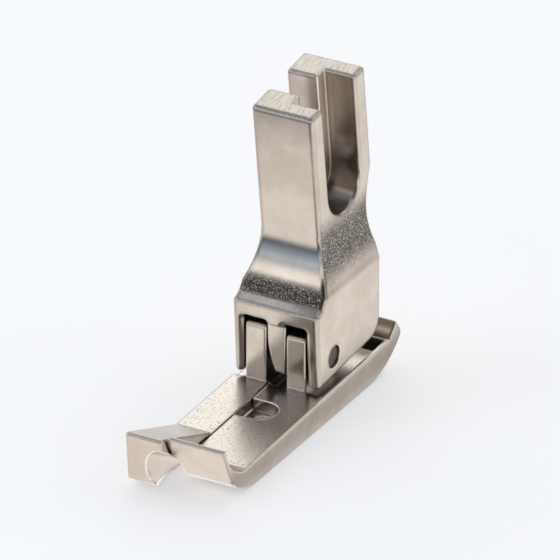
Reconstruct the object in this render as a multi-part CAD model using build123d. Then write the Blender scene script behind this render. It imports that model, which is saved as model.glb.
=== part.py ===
from build123d import *
from math import asin, atan2, cos, degrees, radians, sin, sqrt, tan
import os

os.makedirs("parts", exist_ok=True)

# All lengths in millimetres, angles in degrees.
# +X is the right side seen from the front, +Y the back, +Z up.
# Lengths below run from the point on the sole plane straight under the hinge pin,
# in the shank's middle; the files are written with the needle hole as origin.

# Shank: the fork that the presser bar screw clamps
fork_width = 8.0            # across X
fork_depth = 12.7           # front face to back face
fork_lean = 7.3             # forward lean of the fork as it stands
fork_foot_y = -0.5          # front face where the flare begins
fork_foot_z = 22.2
fork_length = 15.9          # from the flare to the top face
bar_recess_width = 7.65     # wide recess on the right for the presser bar
bar_recess_radius = bar_recess_width / 2
bar_recess_floor = 0.15     # recess floor below the start of the flare
screw_slot_width = 4.2      # narrow slot through to the left
open_reach = 3.0            # how far cutting shapes stand past the body
slot_step_x = 0.0           # where the recess steps down to the slot
shank_edge = 0.5            # rounding of the shank's long edges and top
mouth_edge = 0.35           # rounding where the slot and recess come out

# Shank: the block that carries the hinge
block_width = 11.2
block_shoulder_z = 13.5     # front top edge of the block
block_front_y = -4.15
block_front_low_y = -3.6
block_bottom_z = 3.95       # at the front, rising to the back
block_bottom_rise = 4.4     # degrees
block_back_y = 11.15
block_heel_radius = 2.5
flare_start_z = 22.5
flare_end_z = 15.0
flare_lip_y = -2.9          # foot of the front flare, before the bevel
flare_lip_z = 14.1
neck_y = 10.8               # back of the neck
neck_z = 21.8
neck_blend = 3.0            # radius where the fork runs into the neck
shoulder_edge = 0.3         # rounding of the bevel under the flare

# Hinge
pin_z = 6.85
pin_radius = 1.4
pin_recess = 0.25           # pin ends below the side faces
running_fit = 0.04
lug_slot_left = (-4.35, -1.30)
lug_slot_right = (1.05, 3.90)
lug_slot_top_z = 11.5
lug_slot_back_y = 5.3
lug_side_gap = 0.15
leg_corner = 0.7            # rounding of the legs' lower corners
tongue_low_x = -0.3         # lower left corner of the curved middle tongue
tongue_low_z = 5.1
tongue_curve_z = 10.8       # where its left side starts to curve
tongue_setback = 0.7        # the tongue's front lies behind the legs
tongue_arch_z = 11.2

# Toes
seam_x = -1.0
seam_gap = 0.16
left_edge_x = -6.0
right_edge_x = 6.5
toe_top_front_z = 3.05      # top surface near the crease
toe_top_slope = 1.6         # degrees, rising to the back
pocket_floor_z = 2.6
pocket_front_y = -3.9
rim_thickness = 0.5
heel_lip_y = 13.45
heel_lip_z = 5.65
heel_end_y = 14.9
heel_end_z = 3.8
toe_length = 43.4           # heel end to the left toe's tip
sole_heel_y = 7.0           # where the sole starts to curve up at the heel
left_tip_low_z = 1.15
tip_top_z = 7.45
left_nose_length = 11.6     # tip to the crease of the top
left_nose_curl = 7.0        # tip to where the sole starts to rise
right_nose_back = 0.8       # the right tip lies behind the left
right_nose_curl = 7.9
right_nose_lean = 2.1       # foot of the right nose's front behind its tip
hollow_length = 5.4         # right tip to the end of its hollow
hollow_mid_y = 2.2
hollow_mid_z = 4.5
tip_thickness = 0.7         # width of the right tip's flat top
right_tip_low_z = 2.35
nose_edge = 0.3             # rounding of the nose
heel_edge = 0.9             # rounding of the heel's end
side_edge = 0.25            # rounding all round the right toe's outer side
left_side_edge = 0.45       # the left toe's is rounder
inner_nose_edge = 0.25      # rounding of the noses along the seam

# Lugs of the toes
lug_front_y = -3.6
lug_back_y = 3.4
left_lug_top_z = 10.75
right_lug_top_z = 10.2
lug_seat_z = 9.3            # shoulder that the spring stands on
lug_seat_y = 0.7
lug_edge = 0.25             # rounding of the lugs

# Cord tunnel and needle slot
tunnel_x = -1.45
tunnel_radius = 1.9
tunnel_mouth_back = 0.3     # mouth behind the left tip
tunnel_mouth_z = 3.5
tunnel_rise_length = 6.3    # left tip to the bend
tunnel_sole_z = -0.25
needle_slot_front_y = -11.95
needle_slot_back_y = -7.6
needle_slot_floor_z = 1.75
needle_hole_x = 1.1
needle_hole_y = -9.3
needle_slot_end_x = 1.2     # middle of the slot's round end
needle_hole_radius = 0.9

# Compensating springs, one above each lug
spring_y = 2.1
spring_bore_radius = 1.15
spring_bore_top_z = 15.6
spring_coil_radius = 0.82
spring_wire_radius = 0.16
spring_turns = 3
spring_wire_sides = 6
spring_end_gap = 0.02

left_tip_y = heel_end_y - toe_length
crease_y = left_tip_y + left_nose_length
sole_left_nose_y = left_tip_y + left_nose_curl
right_tip_y = left_tip_y + right_nose_back
right_tip_low_y = right_tip_y + right_nose_lean
sole_right_nose_y = right_tip_y + right_nose_curl
tunnel_mouth_y = left_tip_y + tunnel_mouth_back
tunnel_bend_y = left_tip_y + tunnel_rise_length

half_block = block_width / 2
half_fork = fork_width / 2


def forkPoint(u, w):
    """Side-view point, u back from the fork's front face, w up from its foot."""
    lean = radians(fork_lean)
    y = fork_foot_y + u * cos(lean) - w * sin(lean)
    z = fork_foot_z + u * sin(lean) + w * cos(lean)
    return (y, z)


def closedFace(start, steps):
    """Face from a start point and steps: a point is a line, a pair is an arc."""
    edges = []
    here = start
    for step in steps:
        if isinstance(step[0], tuple):
            edges.append(ThreePointArc(here, step[0], step[1]))
            here = step[1]
        else:
            edges.append(Line(here, step))
            here = step
    edges.append(Line(here, start))
    return make_face(edges)


def sideSolid(face, x_low, x_high):
    """Side-view face stretched across X."""
    return extrude(Plane.YZ.offset(x_low) * face, amount=x_high - x_low)


def boxBetween(low, high):
    """Box from its lowest to its highest corner."""
    size = [high[i] - low[i] for i in range(3)]
    centre = [(high[i] + low[i]) / 2 for i in range(3)]
    return Pos(*centre) * Box(*size)


def arcMiddle(start, end, direction):
    """Middle point of the arc that leaves start along direction and ends at end."""
    dy, dz = end[0] - start[0], end[1] - start[1]
    length = sqrt(direction[0] ** 2 + direction[1] ** 2)
    ty, tz = direction[0] / length, direction[1] / length
    chord = sqrt(dy * dy + dz * dz)
    cross = (ty * dz - tz * dy) / chord
    half = asin(cross)
    sag = chord / 2 * tan(half / 2)
    return ((start[0] + end[0]) / 2 + sag * dz / chord, (start[1] + end[1]) / 2 - sag * dy / chord)


def blockBottomZ(y):
    """Height of the block's underside at a place along Y."""
    return block_bottom_z + (y - block_front_low_y) * tan(radians(block_bottom_rise))


def shankSideFace():
    """Outline of the shank seen from the side."""
    foot = forkPoint(0, 0)
    lip = (flare_lip_y, flare_lip_z)
    down = (sin(radians(fork_lean)), -cos(radians(fork_lean)))
    back_low = forkPoint(fork_depth, 2.4)
    neck_low = (block_back_y + 0.3, flare_end_z + 1.4)
    heel = (block_back_y - block_heel_radius, blockBottomZ(block_back_y - block_heel_radius))
    heel_side = (block_back_y, heel[1] + block_heel_radius)
    heel_mid = (block_back_y - block_heel_radius * 0.293, heel[1] + block_heel_radius * 0.293)
    return closedFace(forkPoint(0, fork_length), [
        foot,
        (arcMiddle(foot, lip, down), lip),
        (block_front_y, block_shoulder_z),
        (block_front_low_y, block_bottom_z),
        heel,
        (heel_mid, heel_side),
        (block_back_y, flare_end_z - 0.6),
        neck_low,
        ((neck_y, neck_z), back_low),
        forkPoint(fork_depth, fork_length),
    ])


def shankFrontFace():
    """Outline of the shank seen from the front."""
    top = fork_foot_z + fork_length + 6
    shoulder = (half_block, flare_end_z)
    start = (half_fork, flare_start_z)
    mid = arcMiddle(start, shoulder, (0, -1))
    right = [
        start,
        (mid, shoulder),
        (half_block, 0),
        (-half_block, 0),
        (-half_block, flare_end_z),
        ((-mid[0], mid[1]), (-start[0], start[1])),
        (-half_fork, top),
    ]
    return closedFace((half_fork, top), right)


def shankBlank():
    """Side outline and front outline together."""
    side = sideSolid(shankSideFace(), -half_block, half_block)
    across = side.edges().filter_by(Axis.X)
    neck = [e for e in across if (e @ 0).Y > block_back_y
            and flare_end_z < (e @ 0).Z < fork_foot_z + fork_length / 2]
    side = fillet(neck, neck_blend)
    front_low = [e for e in side.edges().filter_by(Axis.X) if (e @ 0).Y < block_front_low_y + 0.1]
    side = fillet(front_low, shoulder_edge)
    across = extrude(Plane.XZ.offset(-block_back_y - open_reach) * shankFrontFace(), amount=3 * block_back_y)
    body = side & across
    top = [e for e in body.edges().filter_by(Axis.X) if (e @ 0).Z > fork_foot_z + fork_length - shank_edge]
    sides = [e for e in body.edges() if abs((e @ 0.5).X) > half_fork - 0.1 and abs((e @ 0).X - (e @ 1).X) < 2]
    return fillet(sides + top, shank_edge)


def forkSlot(width, floor_w, x_low, x_high):
    """Round-bottomed slot of the fork, open at the top."""
    middle = fork_depth / 2
    low = forkPoint(middle - width / 2, floor_w + width / 2)
    bottom = forkPoint(middle, floor_w)
    high = forkPoint(middle + width / 2, floor_w + width / 2)
    face = closedFace(low, [
        (bottom, high),
        forkPoint(middle + width / 2, fork_length + open_reach),
        forkPoint(middle - width / 2, fork_length + open_reach),
    ])
    return sideSolid(face, x_low, x_high)


def lugSlot(span):
    """Slot in the block for one lug, open to the front and below."""
    slot = boxBetween((span[0], block_front_y - 2, 0), (span[1], lug_slot_back_y, lug_slot_top_z))
    ceiling = slot.faces().sort_by(Axis.Z)[-1]
    slot = fillet(ceiling.edges().filter_by(Axis.Y), 0.35)
    bore = Pos((span[0] + span[1]) / 2, spring_y, (lug_slot_top_z + spring_bore_top_z) / 2) * Cylinder(
        spring_bore_radius, spring_bore_top_z - lug_slot_top_z + 0.02)
    return slot + bore


def pinCylinder(radius, x_low, x_high):
    """Cylinder on the hinge axis."""
    place = Pos((x_low + x_high) / 2, 0, pin_z) * Rot(0, 90, 0)
    return place * Cylinder(radius, x_high - x_low)


def tongueCut():
    """Room left and below of the middle tongue, which curves to its end."""
    high = (lug_slot_left[1] - 0.1, tongue_curve_z)
    low = (tongue_low_x, tongue_low_z)
    face = closedFace(high, [
        (arcMiddle(high, low, (0, -1)), low),
        (lug_slot_right[0] + 0.1, tongue_low_z - 0.2),
        (lug_slot_right[0] + 0.1, 0),
        (lug_slot_left[1] - 0.1, 0),
    ])
    slot_depth = lug_slot_back_y - block_front_y
    room = extrude(Plane.XZ.offset(-lug_slot_back_y) * face, amount=slot_depth + open_reach)
    arch = boxBetween((lug_slot_left[1] - 0.1, block_front_y - 1, 0),
                      (lug_slot_right[0] + 0.1, block_front_y + tongue_setback, tongue_arch_z))
    return room + fillet(arch.faces().sort_by(Axis.Z)[-1].edges().filter_by(Axis.Y), 0.5)


def legCorner(place):
    """True at a lower corner of one of the block's outer legs."""
    return place.Z < block_bottom_z + 1 and abs(place.X) > lug_slot_right[1] - 0.1


def slotMouth(place):
    """True where the fork's slot or recess comes out of a side face."""
    middle = forkPoint(fork_depth / 2, place.Z - fork_foot_z)
    inside = abs(place.Y - middle[0]) < bar_recess_width / 2 + 1
    return inside and place.Z > fork_foot_z and abs(abs(place.X) - half_fork) < 0.02


def makeShank():
    """One casting: fork, flared neck and hinge block."""
    body = shankBlank()
    recess_floor = -bar_recess_floor
    slot_floor = recess_floor + (bar_recess_width - screw_slot_width) / 2
    body -= forkSlot(bar_recess_width, recess_floor, slot_step_x, half_block + 1)
    body -= forkSlot(screw_slot_width, slot_floor, -half_block - 1, slot_step_x + 1)
    body -= lugSlot(lug_slot_left)
    body -= lugSlot(lug_slot_right)
    body -= pinCylinder(pin_radius, -half_block - 1, half_block + 1)
    corners = [e for e in body.edges() if legCorner(e @ 0.5) and abs((e @ 0).Y - (e @ 1).Y) > 2]
    body = fillet(corners, leg_corner) - tongueCut()
    return fillet([e for e in body.edges() if slotMouth(e @ 0.5)], mouth_edge)


def makePin():
    """Hinge pin, pressed into the shank."""
    pin = pinCylinder(pin_radius, -half_block + pin_recess, half_block - pin_recess)
    return chamfer(pin.edges().filter_by(GeomType.CIRCLE), 0.15)


def toeTopZ(y):
    """Height of the toes' flat top at a place along Y."""
    return toe_top_front_z + (y - crease_y) * tan(radians(toe_top_slope))


def heelSteps(top_y):
    """Shared rear outline of both toes, from the sole up to the top face."""
    crease = heel_lip_y - (heel_lip_z - toeTopZ(heel_lip_y))
    return [
        (sole_heel_y, 0),
        (arcMiddle((sole_heel_y, 0), (heel_end_y, heel_end_z), (1, 0)), (heel_end_y, heel_end_z)),
        (heel_lip_y, heel_lip_z),
        (crease, toeTopZ(crease)),
        (top_y, toeTopZ(top_y)),
    ]


def leftToeFace():
    """Side outline of the narrow left toe with its blunt nose."""
    low = (left_tip_y + 0.5, left_tip_low_z)
    sole = (sole_left_nose_y, 0)
    steps = [
        (arcMiddle(sole, low, (-1, 0)), sole),
    ] + heelSteps(crease_y) + [
        (left_tip_y, tip_top_z),
    ]
    return closedFace(low, steps)


def rightToeFace():
    """Side outline of the wide right toe with its hollow upturned nose."""
    hollow_y = right_tip_y + hollow_length
    low = (right_tip_low_y, right_tip_low_z)
    sole = (sole_right_nose_y, 0)
    steps = [
        (arcMiddle(sole, low, (-1, 0)), sole),
    ] + heelSteps(hollow_y) + [
        ((right_tip_y + hollow_mid_y, hollow_mid_z), (right_tip_y + tip_thickness, tip_top_z)),
        (right_tip_y, tip_top_z),
    ]
    return closedFace(low, steps)


def cordTunnel():
    """Round groove on the seam: level under the sole, rising to the nose."""
    level = Pos(tunnel_x, 0, tunnel_sole_z) * Rot(90, 0, 0) * Cylinder(
        tunnel_radius, heel_end_y + open_reach - tunnel_bend_y, align=(Align.CENTER, Align.CENTER, Align.MAX))
    level = Pos(0, tunnel_bend_y, 0) * level
    run = tunnel_mouth_y - tunnel_bend_y
    rise = tunnel_mouth_z - tunnel_sole_z
    pitch = degrees(atan2(rise, -run))
    slope = Pos(tunnel_x, tunnel_bend_y, tunnel_sole_z) * Rot(-pitch, 0, 0) * Rot(90, 0, 0) * Cylinder(
        tunnel_radius, 2 * (tunnel_bend_y - tunnel_mouth_y), align=(Align.CENTER, Align.CENTER, Align.MIN))
    knee = Pos(tunnel_x, tunnel_bend_y, tunnel_sole_z) * Sphere(tunnel_radius)
    return level + slope + knee


def pocket(x_low, x_high, front_y):
    """Sunken floor round the foot of the block, rising to the heel lip."""
    back = heel_lip_y - (heel_lip_z - pocket_floor_z)
    face = closedFace((front_y, pocket_floor_z), [
        (back, pocket_floor_z),
        (back + 5, pocket_floor_z + 5),
        (front_y, pocket_floor_z + 5),
    ])
    return sideSolid(face, x_low, x_high)


def lug(span, top_z):
    """Upright ear that turns on the pin, with a shoulder for the spring."""
    face = closedFace((lug_front_y, 1.5), [
        (lug_back_y, 1.5),
        (lug_back_y, lug_seat_z - 0.5),
        (lug_back_y - 0.5, lug_seat_z),
        (lug_seat_y, lug_seat_z),
        (lug_seat_y, top_z - 0.4),
        (lug_seat_y - 0.4, top_z),
        (lug_front_y + 0.6, top_z),
        ((lug_front_y + 0.18, top_z - 0.18), (lug_front_y, top_z - 0.6)),
    ])
    ear = sideSolid(face, span[0] + lug_side_gap, span[1] - lug_side_gap)
    rim = [e for e in ear.edges() if abs((e @ 0).X - (e @ 1).X) < 0.1
           and (e @ 0.5).Z > 4 and (e @ 0.5).Y < lug_seat_y - 0.1]
    return fillet(rim, lug_edge)


def outerFace(body, side):
    """Flat outer side face of a toe."""
    faces = body.faces().filter_by(Axis.X).sort_by(Axis.X)
    return faces[-1] if side > 0 else faces[0]


def roundedToe(body, side, tip_y):
    """Body with its nose and heel rounded, then all round its outer side."""
    edge = side_edge if side > 0 else left_side_edge
    across = body.edges().filter_by(Axis.X)
    nose = [e for e in across if (e @ 0).Y < tip_y + tip_thickness + 0.1 and (e @ 0).Z > tip_top_z - 0.1]
    body = fillet(nose, nose_edge)
    heel = [e for e in body.edges().filter_by(Axis.X) if (e @ 0).Y > heel_end_y - 0.1]
    body = fillet(heel, heel_edge)
    body = fillet(outerFace(body, side).edges(), edge)
    seam = [e for e in outerFace(body, -side).edges()
            if (e @ 0.5).Y < crease_y and (e @ 0.5).Z > tip_top_z / 2]
    return fillet(seam, inner_nose_edge)


def makeLeftToe():
    """Narrow toe: nose, sole, pocket and lug in one piece."""
    inner = seam_x - seam_gap / 2
    body = sideSolid(leftToeFace(), left_edge_x, inner)
    body = roundedToe(body, -1, left_tip_y)
    body -= pocket(left_edge_x - 1, lug_slot_left[0] - 0.2, lug_front_y)
    body -= pocket(lug_slot_left[0] - 0.2, inner + 1, pocket_front_y + 0.5)
    body += lug(lug_slot_left, left_lug_top_z)
    body -= cordTunnel()
    body -= pinCylinder(pin_radius + running_fit, left_edge_x, inner)
    return body


def needleSlot():
    """Sunken slot open to the seam, with the needle hole through its floor."""
    radius = (needle_slot_back_y - needle_slot_front_y) / 2
    middle = (needle_slot_back_y + needle_slot_front_y) / 2
    end = needle_slot_end_x
    low = needle_slot_floor_z
    slot = boxBetween((seam_x - 1, needle_slot_front_y, low), (end, needle_slot_back_y, low + 4))
    slot += Pos(end, middle, low + 2) * Cylinder(radius, 4)
    slot += Pos(needle_hole_x, needle_hole_y, 0) * Cylinder(needle_hole_radius, 12)
    return slot


def makeRightToe():
    """Wide toe: upturned nose, needle slot, pocket with its rim, and lug."""
    inner = seam_x + seam_gap / 2
    body = sideSolid(rightToeFace(), inner, right_edge_x)
    body = roundedToe(body, 1, right_tip_y)
    ledge = lug_slot_right[0] + lug_side_gap
    body -= pocket(inner - 1, 0.1, pocket_front_y)
    body -= pocket(0.1, ledge, -2.0)
    body -= pocket(ledge - 0.1, right_edge_x - rim_thickness, pocket_front_y + 0.3)
    body += lug(lug_slot_right, right_lug_top_z)
    body -= cordTunnel()
    body -= needleSlot()
    body -= pinCylinder(pin_radius + running_fit, inner, right_edge_x)
    return body


def makeSpring(span):
    """Compression spring between the lug's shoulder and its bore."""
    low = lug_seat_z + spring_wire_radius + spring_end_gap
    high = spring_bore_top_z - spring_wire_radius - spring_end_gap
    x = (span[0] + span[1]) / 2
    path = Helix((high - low) / spring_turns, high - low, spring_coil_radius)
    wire = Plane(origin=path @ 0, z_dir=path % 0) * RegularPolygon(spring_wire_radius, spring_wire_sides)
    return Pos(x, spring_y, low) * sweep(wire, path=path)


def writePart(body, name):
    """One node to its own file, moved so that the needle hole is the origin."""
    body = Pos(-needle_hole_x, -needle_hole_y, 0) * body
    export_step(body, "parts/" + name + ".step")
    print(name, round(body.volume, 2), body.is_valid, len(body.solids()))


writePart(makeShank(), "shank")
writePart(makePin(), "hinge_pin")
writePart(makeLeftToe(), "left_toe")
writePart(makeRightToe(), "right_toe")
writePart(makeSpring(lug_slot_left), "left_spring")
writePart(makeSpring(lug_slot_right), "right_spring")
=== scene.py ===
import math
import bpy
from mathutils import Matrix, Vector


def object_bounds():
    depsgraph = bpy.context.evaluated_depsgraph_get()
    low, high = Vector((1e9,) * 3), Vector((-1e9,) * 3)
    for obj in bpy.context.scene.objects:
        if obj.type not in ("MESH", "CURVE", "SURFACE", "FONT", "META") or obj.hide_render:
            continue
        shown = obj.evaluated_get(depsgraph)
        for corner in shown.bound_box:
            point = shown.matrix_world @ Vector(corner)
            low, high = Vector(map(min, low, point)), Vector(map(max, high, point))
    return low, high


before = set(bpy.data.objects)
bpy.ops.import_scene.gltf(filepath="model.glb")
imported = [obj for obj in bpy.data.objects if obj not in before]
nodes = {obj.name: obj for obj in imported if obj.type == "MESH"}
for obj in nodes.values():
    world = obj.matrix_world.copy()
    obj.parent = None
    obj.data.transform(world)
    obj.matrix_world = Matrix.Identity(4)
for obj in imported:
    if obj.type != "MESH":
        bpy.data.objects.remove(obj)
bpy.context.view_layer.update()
print("frame loaded:", ", ".join(sorted(nodes)))

mm = 0.001


def linear(hexColour):
    # sRGB hex to the linear values that shaders take
    out = []
    for i in (1, 3, 5):
        c = int(hexColour[i:i + 2], 16) / 255
        out.append(c / 12.92 if c <= 0.04045 else ((c + 0.055) / 1.055) ** 2.4)
    return (*out, 1.0)


def addNode(tree, kind, settings=None, inputs=(), stops=()):
    # Settings are the node's own properties. Inputs go by socket name or in order, each
    # a number, a hex colour, a socket or a node, which stands for its first live output.
    # Stops are the places and colours of a colour ramp.
    node = tree.nodes.new(kind)
    for name, value in (settings or {}).items():
        setattr(node, name, value)
    for name, value in (inputs.items() if isinstance(inputs, dict) else enumerate(inputs)):
        if isinstance(value, bpy.types.Node):
            value = next(output for output in value.outputs if output.enabled)
        if isinstance(value, bpy.types.NodeSocket):
            tree.links.new(value, node.inputs[name])
        else:
            node.inputs[name].default_value = linear(value) if isinstance(value, str) else value
    if stops:
        elements = node.color_ramp.elements
        while len(elements) < len(stops):
            elements.new(0.5)
        for element, (position, colour) in zip(elements, stops):
            element.position = position
            element.color = linear(colour)
    return node


def newMaterial(name):
    material = bpy.data.materials.new(name)
    material.use_nodes = True
    material.node_tree.nodes.clear()
    return material, material.node_tree


# Settings that many nodes share.
smooth = {"interpolation_type": "SMOOTHSTEP"}
times = {"operation": "MULTIPLY"}
timesPlus = {"operation": "MULTIPLY_ADD"}
inColour = {"data_type": "RGBA"}


def bandMask(tree, axis, band):
    # 1 from low to high along an axis, fading over soft metres on either side
    low, high, soft = band["low"], band["high"], band["soft"]
    up = addNode(tree, "ShaderNodeMapRange", smooth, [axis, low - soft, low + soft])
    down = addNode(tree, "ShaderNodeMapRange", smooth, [axis, high - soft, high + soft, 1.0, 0.0])
    return addNode(tree, "ShaderNodeMath", times, [up, down])


# Nickel plate over a steel casting: warm silver with the fine orange-peel grain of
# tumbled castings. Tops are rubbed bright by cloth and hands. Pairs are where an
# effect starts and where it is full.
nickel = {
    "light": "#D3CAC1",
    "dark": "#C8BEB4",
    "mottleSize": 5.0 * mm,      # clouds in the plating
    "cloudRange": (0.36, 0.66),
    "roughHigh": 0.19,
    "roughLow": 0.15,
    "roughRange": (0.3, 0.7),
    "topsFacing": (0.86, 0.96),  # how upright a normal is on a top
    "rubbed": "#E6E2DC",
    "rubbedRough": 0.27,
    "streakRange": (0.30, 0.66),
    "streakWidth": 0.17 * mm,    # real ones are nearer 0.02 mm, drawn coarse to show
    "streakLength": 9.0 * mm,
    "streakBump": 0.30,
    "streakDepth": 0.02 * mm,
    "pit": "#8A8075",
    "pitSize": 0.30 * mm,
    "pitRange": (0.55, 0.66),
    "grainSize": 0.12 * mm,      # real grain is nearer 0.05 mm, drawn coarse to show
    "grainBump": 0.16,
    "grainDepth": 0.03 * mm,
    "wearAndHighlight": "#FFFDFA",           # edges polished by tumbling, whitened further as a painted highlight
    "wearAndHighlightRough": 0.07,
    "wearAndHighlightTurn": (0.985, 0.94),   # cosine between the rounded and the flat normal
    "openRange": (0.45, 0.7),    # polish, painted highlight and painted edge line only where the surface lies open
    "paintedEdgeShade": "#6B635B",        # painted shade: thin dark line beside a polished edge
    "paintedEdgeShadeStrength": 0.5,
    "paintedEdgeShadeOuter": (0.999, 0.996),
    "paintedEdgeShadeInner": (0.970, 0.985),
    "paintedCornerShade": "#4B3D2D",          # painted shade in corners, recesses and low beside the floor
    "paintedCornerShadeRange": (0.10, 0.74),
    "cornerRough": 0.40,
    "cornerRoughRange": (0.25, 0.75),
}

# Grit-blasted parts of the casting, dull and dark, with painted highlights on the peaks.
blasted = {
    "colour": "#423C36",
    "rough": 0.34,
    "grainRange": (0.38, 0.60),
    "leastCover": 0.8,
    "glintSize": 0.14 * mm,      # real grit leaves peaks of 0.05 mm, drawn coarse to show
    "glintRange": (0.565, 0.67),
    "frontFacing": (-0.55, -0.75),
    "frontBand": {"low": 13.9 * mm, "high": 16.0 * mm, "soft": 0.6 * mm},
    "sideFacing": (0.6, 0.9),
    "sideBand": {"low": 16.6 * mm, "high": 22.8 * mm, "soft": 1.8 * mm},
}

# What differs between the two castings: how round the tumbled edges look, how far
# from a corner the painted shade reaches, how the scratches turn about Z in degrees,
# how much the tops show scratches and not pits, and whether the flare and neck are blasted.
castLook = {"edge": 0.42 * mm, "occlusionReach": 7.0 * mm, "streakTurn": 35, "brushed": 1.0, "blasted": True}
toeLook = {"edge": 0.3 * mm, "occlusionReach": 1.3 * mm, "streakTurn": 8, "brushed": 0.25, "blasted": False}


def scratches(tree, place, turn):
    # fine scratches along Y, turned about Z
    width, length = nickel["streakWidth"], nickel["streakLength"]
    turned = addNode(tree, "ShaderNodeMapping", inputs={
        "Vector": place, "Rotation": (0, 0, math.radians(turn)), "Scale": (1 / width, 1 / length, 1 / width)})
    return addNode(tree, "ShaderNodeTexNoise", inputs={
        "Vector": turned, "Scale": 1.0, "Detail": 3.0, "Roughness": 0.65})


def plateColours(tree, place, upward, scratch, brushed):
    # clouded plate, its tops rubbed bright along the scratches, or pitted
    mottle = addNode(tree, "ShaderNodeTexNoise", inputs={
        "Vector": place, "Scale": 1 / nickel["mottleSize"], "Detail": 6.0, "Roughness": 0.62})
    cloud = addNode(tree, "ShaderNodeMapRange", smooth, [mottle, *nickel["cloudRange"]])
    base = addNode(tree, "ShaderNodeMix", inColour, {0: cloud, 6: nickel["dark"], 7: nickel["light"]})
    bright = addNode(tree, "ShaderNodeMapRange", smooth, [
        scratch, *nickel["streakRange"], 1.0 - brushed, 1.0])
    bright = addNode(tree, "ShaderNodeMath", times, [upward, bright])
    base = addNode(tree, "ShaderNodeMix", inColour, {0: bright, 6: base, 7: nickel["rubbed"]})
    rough = addNode(tree, "ShaderNodeMapRange", smooth, [
        mottle, *nickel["roughRange"], nickel["roughHigh"], nickel["roughLow"]])
    rough = addNode(tree, "ShaderNodeMapRange", smooth, [upward, 0.0, 1.0, rough, nickel["rubbedRough"]])
    spots = addNode(tree, "ShaderNodeTexNoise", inputs={
        "Vector": place, "Scale": 1 / nickel["pitSize"], "Detail": 3.0, "Roughness": 0.75})
    spots = addNode(tree, "ShaderNodeMapRange", smooth, [spots, *nickel["pitRange"], 0.0, 1.0 - brushed])
    spots = addNode(tree, "ShaderNodeMath", times, [upward, spots])
    base = addNode(tree, "ShaderNodeMix", inColour, {0: spots, 6: base, 7: nickel["pit"]})
    return base, rough


def plateRelief(tree, rounded, upward, scratch, grain, brushed):
    # grain all over, scratches on the tops
    relief = addNode(tree, "ShaderNodeBump", inputs={
        "Strength": nickel["grainBump"], "Distance": nickel["grainDepth"],
        "Height": grain, "Normal": rounded})
    lines = addNode(tree, "ShaderNodeMath", times, [upward, scratch])
    return addNode(tree, "ShaderNodeBump", inputs={
        "Strength": nickel["streakBump"] * brushed, "Distance": nickel["streakDepth"],
        "Height": lines, "Normal": relief})


def blastedParts(tree, place, facing, grain, base, rough):
    # the foot of the flare in front, and the neck at the side
    height = addNode(tree, "ShaderNodeSeparateXYZ", inputs=[place]).outputs["Z"]
    front = addNode(tree, "ShaderNodeMapRange", smooth, [facing.outputs["Y"], *blasted["frontFacing"]])
    front = addNode(tree, "ShaderNodeMath", times, [front, bandMask(tree, height, blasted["frontBand"])])
    side = addNode(tree, "ShaderNodeMapRange", smooth, [facing.outputs["X"], *blasted["sideFacing"]])
    side = addNode(tree, "ShaderNodeMath", times, [side, bandMask(tree, height, blasted["sideBand"])])
    mask = addNode(tree, "ShaderNodeMath", {"operation": "MAXIMUM"}, [front, side])
    pits = addNode(tree, "ShaderNodeMapRange", smooth, [
        grain, *blasted["grainRange"], blasted["leastCover"], 1.0])
    pits = addNode(tree, "ShaderNodeMath", times, [mask, pits])
    base = addNode(tree, "ShaderNodeMix", inColour, {0: pits, 6: base, 7: blasted["colour"]})
    # Painted highlight: white glints on the grit peaks, mixed into the base colour.
    glints = addNode(tree, "ShaderNodeTexNoise", inputs={
        "Vector": place, "Scale": 1 / blasted["glintSize"], "Detail": 1.5, "Roughness": 0.8})
    glints = addNode(tree, "ShaderNodeMapRange", smooth, [glints, *blasted["glintRange"]])
    glints = addNode(tree, "ShaderNodeMath", times, [mask, glints])
    base = addNode(tree, "ShaderNodeMix", inColour, {0: glints, 6: base, 7: nickel["wearAndHighlight"]})
    rough = addNode(tree, "ShaderNodeMapRange", smooth, [mask, 0.0, 1.0, rough, blasted["rough"]])
    return base, rough


def polishedEdgesAndHighlight(tree, rounded, clear, base, rough, brushed):
    # polished edges whitened as a painted highlight, with a painted dark line beside them
    flat = addNode(tree, "ShaderNodeNewGeometry").outputs["True Normal"]
    same = addNode(tree, "ShaderNodeVectorMath", {"operation": "DOT_PRODUCT"}, [rounded, flat])
    outer = addNode(tree, "ShaderNodeMapRange", smooth, [same, *nickel["paintedEdgeShadeOuter"]])
    inner = addNode(tree, "ShaderNodeMapRange", smooth, [same, *nickel["paintedEdgeShadeInner"]])
    line = addNode(tree, "ShaderNodeMath", times, [outer, inner])
    shown = addNode(tree, "ShaderNodeMapRange", smooth, [
        clear, *nickel["openRange"], 0.0, nickel["paintedEdgeShadeStrength"] * brushed])
    line = addNode(tree, "ShaderNodeMath", times, [line, shown])
    base = addNode(tree, "ShaderNodeMix", inColour, {0: line, 6: base, 7: nickel["paintedEdgeShade"]})
    wearAndHighlight = addNode(tree, "ShaderNodeMapRange", smooth, [same, *nickel["wearAndHighlightTurn"]])
    opened = addNode(tree, "ShaderNodeMapRange", smooth, [clear, *nickel["openRange"]])
    wearAndHighlight = addNode(tree, "ShaderNodeMath", times, [wearAndHighlight, opened])
    base = addNode(tree, "ShaderNodeMix", inColour, {0: wearAndHighlight, 6: base, 7: nickel["wearAndHighlight"]})
    rough = addNode(tree, "ShaderNodeMapRange", smooth, [wearAndHighlight, 0.0, 1.0, rough, nickel["wearAndHighlightRough"]])
    return base, rough


# Painted shade: the base colour darkens towards the shade colour where ambient occlusion finds corners,
# recesses or the floor close by, and these get rougher too.
def paintedCornerShading(tree, clear, base, rough):
    unshaded = addNode(tree, "ShaderNodeMapRange", smooth, [clear, *nickel["paintedCornerShadeRange"]])
    base = addNode(tree, "ShaderNodeMix", inColour, {0: unshaded, 6: nickel["paintedCornerShade"], 7: base})
    rough = addNode(tree, "ShaderNodeMapRange", smooth, [
        clear, *nickel["cornerRoughRange"], nickel["cornerRough"], rough])
    return base, rough


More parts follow.
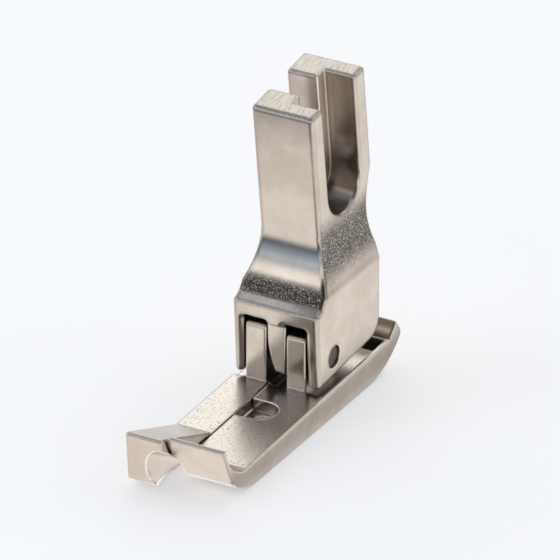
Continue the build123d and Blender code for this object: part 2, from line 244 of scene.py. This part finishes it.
def nickelMaterial(name, look):
    material, tree = newMaterial(name)
    coords = addNode(tree, "ShaderNodeTexCoord")
    place = coords.outputs["Object"]
    facing = addNode(tree, "ShaderNodeSeparateXYZ", inputs=[coords.outputs["Normal"]])
    upward = addNode(tree, "ShaderNodeMapRange", smooth, [facing.outputs["Z"], *nickel["topsFacing"]])
    grain = addNode(tree, "ShaderNodeTexNoise", inputs={
        "Vector": place, "Scale": 1 / nickel["grainSize"], "Detail": 2.0, "Roughness": 0.6})
    scratch = scratches(tree, place, look["streakTurn"])
    rounded = addNode(tree, "ShaderNodeBevel", {"samples": 6}, {"Radius": look["edge"]})
    clear = addNode(tree, "ShaderNodeAmbientOcclusion", {"samples": 6}, {
        "Distance": look["occlusionReach"]}).outputs["AO"]
    base, rough = plateColours(tree, place, upward, scratch, look["brushed"])
    if look["blasted"]:
        base, rough = blastedParts(tree, place, facing, grain, base, rough)
    base, rough = polishedEdgesAndHighlight(tree, rounded, clear, base, rough, look["brushed"])
    base, rough = paintedCornerShading(tree, clear, base, rough)
    relief = plateRelief(tree, rounded, upward, scratch, grain, look["brushed"])
    shader = addNode(tree, "ShaderNodeBsdfPrincipled", inputs={
        "Base Color": base, "Metallic": 1.0, "Roughness": rough, "Normal": relief})
    addNode(tree, "ShaderNodeOutputMaterial", inputs={"Surface": shader})
    return material


# Ground carbon steel of the pin and springs: darker than the plate, and barely uneven.
steel = {"colour": "#5E574F", "rough": 0.38, "grainSize": 0.18 * mm, "bump": 0.25, "depth": 0.03 * mm}


def steelMaterial(name):
    material, tree = newMaterial(name)
    place = addNode(tree, "ShaderNodeTexCoord").outputs["Object"]
    grain = addNode(tree, "ShaderNodeTexNoise", inputs={
        "Vector": place, "Scale": 1 / steel["grainSize"], "Detail": 3.0})
    relief = addNode(tree, "ShaderNodeBump", inputs={
        "Strength": steel["bump"], "Distance": steel["depth"], "Height": grain})
    shader = addNode(tree, "ShaderNodeBsdfPrincipled", inputs={
        "Base Color": steel["colour"], "Metallic": 1.0, "Roughness": steel["rough"], "Normal": relief})
    addNode(tree, "ShaderNodeOutputMaterial", inputs={"Surface": shader})
    return material


def dress(names, material):
    for name in names:
        piece = nodes[name]
        piece.data.materials.clear()
        piece.data.materials.append(material)


dress(["shank"], nickelMaterial("castNickelPlate", castLook))
dress(["left_toe", "right_toe"], nickelMaterial("toeNickelPlate", toeLook))
dress(["hinge_pin", "left_spring", "right_spring"], steelMaterial("groundSteelPin"))
print("pieces dressed")

# Camera: long lens from the front right, slightly above.
view = {"azimuth": 29.1, "elevation": 27.25, "distance": 1.0357, "lens": 578.6, "sensor": 36,
        "clip": (0.05, 20), "target": (-0.86 * mm, 6.014 * mm, 16.962 * mm)}


def placeCamera():
    azimuth = math.radians(view["azimuth"])
    elevation = math.radians(view["elevation"])
    towards = Vector((math.sin(azimuth) * math.cos(elevation),
                      -math.cos(azimuth) * math.cos(elevation), math.sin(elevation)))
    data = bpy.data.cameras.new("camera")
    data.lens = view["lens"]
    data.sensor_width = view["sensor"]
    data.clip_start, data.clip_end = view["clip"]
    camera = bpy.data.objects.new("camera", data)
    camera.location = Vector(view["target"]) + towards * view["distance"]
    camera.rotation_euler = towards.to_track_quat("Z", "Y").to_euler()
    bpy.context.scene.collection.objects.link(camera)
    bpy.context.scene.camera = camera


placeCamera()
print("camera placed")

# Sheet of matt white paper that fills the frame and keeps a light shadow. To the metal it
# glows as a painted reflection: warm near the foot, then a dark strip and blue-grey beyond, in front.
floorLook = {
    "size": 3.0,
    "under": 0.02 * mm,          # below the sole, so the two don't fight
    "colour": "#F0F2F5",
    "seen": "#F8F9FB",
    "glow": 0.45,
    "reach": 0.2,                # metres to the front that the mirrored colours span
    "mirrored": [(0.0, "#F1EEEB"), (0.150, "#EFEBE7"), (0.178, "#46505E"), (0.215, "#3C4654"),
                 (0.30, "#8797A8"), (0.65, "#A5B5C4"), (1.0, "#BCC9D5")],
    "mirroredGlow": 1.25,
    "perMetreRight": 4.0,
    "perMetreBack": -2.5,
    "mirroredRange": (0.5, 1.6),
    "shade": {"low": 5.5 * mm, "high": 9.5 * mm, "soft": 1.5 * mm},   # as the metal sees it
    "shadeDepth": -0.5,
}


def paintedPaperReflection(tree, place):
    # painted reflection that only metal sees on the paper: a tint to the front, a glow over the floor
    axes = addNode(tree, "ShaderNodeSeparateXYZ", inputs=[place])
    right, back = axes.outputs["X"], axes.outputs["Y"]
    ahead = addNode(tree, "ShaderNodeMapRange", inputs=[back, 0.0, -floorLook["reach"]])
    tint = addNode(tree, "ShaderNodeValToRGB", inputs=[ahead], stops=floorLook["mirrored"])
    level = addNode(tree, "ShaderNodeMath", timesPlus, [
        right, floorLook["perMetreRight"], floorLook["mirroredGlow"]])
    level = addNode(tree, "ShaderNodeMath", timesPlus, [back, floorLook["perMetreBack"], level])
    level = addNode(tree, "ShaderNodeClamp", inputs=[level, *floorLook["mirroredRange"]])
    shade = bandMask(tree, right, floorLook["shade"])
    shade = addNode(tree, "ShaderNodeMath", timesPlus, [shade, floorLook["shadeDepth"], 1.0])
    strength = addNode(tree, "ShaderNodeMath", times, [level, shade])
    return addNode(tree, "ShaderNodeEmission", inputs={"Color": tint, "Strength": strength})


def makeFloor():
    bpy.ops.object.select_all(action="DESELECT")
    bpy.ops.mesh.primitive_plane_add(
        size=floorLook["size"], location=(0, 0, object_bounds()[0][2] - floorLook["under"]))
    floor = bpy.context.object
    floor.name = "studioFloor"
    material, tree = newMaterial("paperSweep")
    rays = addNode(tree, "ShaderNodeLightPath").outputs
    place = addNode(tree, "ShaderNodeTexCoord").outputs["Object"]
    paper = addNode(tree, "ShaderNodeBsdfDiffuse", inputs={"Color": floorLook["colour"]})
    surface = addNode(tree, "ShaderNodeMixShader", inputs=[
        rays["Is Glossy Ray"], paper, paintedPaperReflection(tree, place)])
    seen = addNode(tree, "ShaderNodeMath", times, [rays["Is Camera Ray"], floorLook["glow"]])
    glow = addNode(tree, "ShaderNodeEmission", inputs={"Color": floorLook["seen"], "Strength": seen})
    both = addNode(tree, "ShaderNodeAddShader", inputs=[surface, glow])
    addNode(tree, "ShaderNodeOutputMaterial", inputs={"Surface": both})
    floor.data.materials.append(material)


makeFloor()
print("floor laid")

# Studio light: a soft key from the front left, a top panel and a back rim.
lamps = {
    "key": {"place": (-0.32, -0.20, 0.34), "size": (0.30, 0.22), "watts": 0.24},
    "top": {"place": (-0.05, 0.10, 0.55), "size": (0.40, 0.40), "watts": 0.36},
    "back": {"place": (-0.34, 0.50, 0.26), "size": (0.40, 0.22), "watts": 0.16},
}
lampTarget = (0, 0, 0.015)

# The room as the metal sees it, from the horizon up: in front a blue-grey wall
# under a white card with dark above, behind it a bright card for the tops.
roomLight = {
    "camera": "#F7F9FC",
    "strength": 1.5,
    "turnToBack": (-0.15, 0.25),
    "front": [(0.50, "#9BA6B0"), (0.545, "#B9C2CA"), (0.59, "#F4F1EE"), (0.685, "#FFFFFF"),
              (0.715, "#26231F"), (0.87, "#1B1917"), (0.93, "#69737C"), (1.0, "#50545A")],
    "back": [(0.50, "#4B4F55"), (0.58, "#686B70"), (0.65, "#CFCDC9"), (0.78, "#CBC8C3"),
             (0.84, "#F0EEEA"), (0.88, "#2B2927"), (0.94, "#69737C"), (1.0, "#50545A")],
}


def makeLamps():
    for name, lamp in lamps.items():
        data = bpy.data.lights.new(name, "AREA")
        data.shape = "RECTANGLE"
        data.size, data.size_y = lamp["size"]
        data.energy = lamp["watts"]
        light = bpy.data.objects.new(name, data)
        light.location = lamp["place"]
        away = Vector(lamp["place"]) - Vector(lampTarget)
        light.rotation_euler = away.to_track_quat("Z", "Y").to_euler()
        bpy.context.scene.collection.objects.link(light)


def makeRoom():
    world = bpy.data.worlds.new("room")
    world.use_nodes = True
    bpy.context.scene.world = world
    tree = world.node_tree
    tree.nodes.clear()
    rays = addNode(tree, "ShaderNodeLightPath").outputs
    direction = addNode(tree, "ShaderNodeTexCoord").outputs["Generated"]
    axes = addNode(tree, "ShaderNodeSeparateXYZ", inputs=[direction])
    level = addNode(tree, "ShaderNodeMapRange", inputs=[axes.outputs["Z"], -1.0, 1.0])
    back = addNode(tree, "ShaderNodeMapRange", smooth, [axes.outputs["Y"], *roomLight["turnToBack"]])
    walls = [addNode(tree, "ShaderNodeValToRGB", inputs=[level], stops=roomLight[side])
             for side in ("front", "back")]
    sky = addNode(tree, "ShaderNodeMix", inColour, {0: back, 6: walls[0], 7: walls[1]})
    around = addNode(tree, "ShaderNodeBackground", inputs={"Color": sky, "Strength": roomLight["strength"]})
    seen = addNode(tree, "ShaderNodeBackground", inputs={"Color": roomLight["camera"]})
    mix = addNode(tree, "ShaderNodeMixShader", inputs=[rays["Is Camera Ray"], around, seen])
    addNode(tree, "ShaderNodeOutputWorld", inputs={"Surface": mix})


makeLamps()
makeRoom()
bpy.context.scene.view_settings.view_transform = "Standard"
print("stage set")
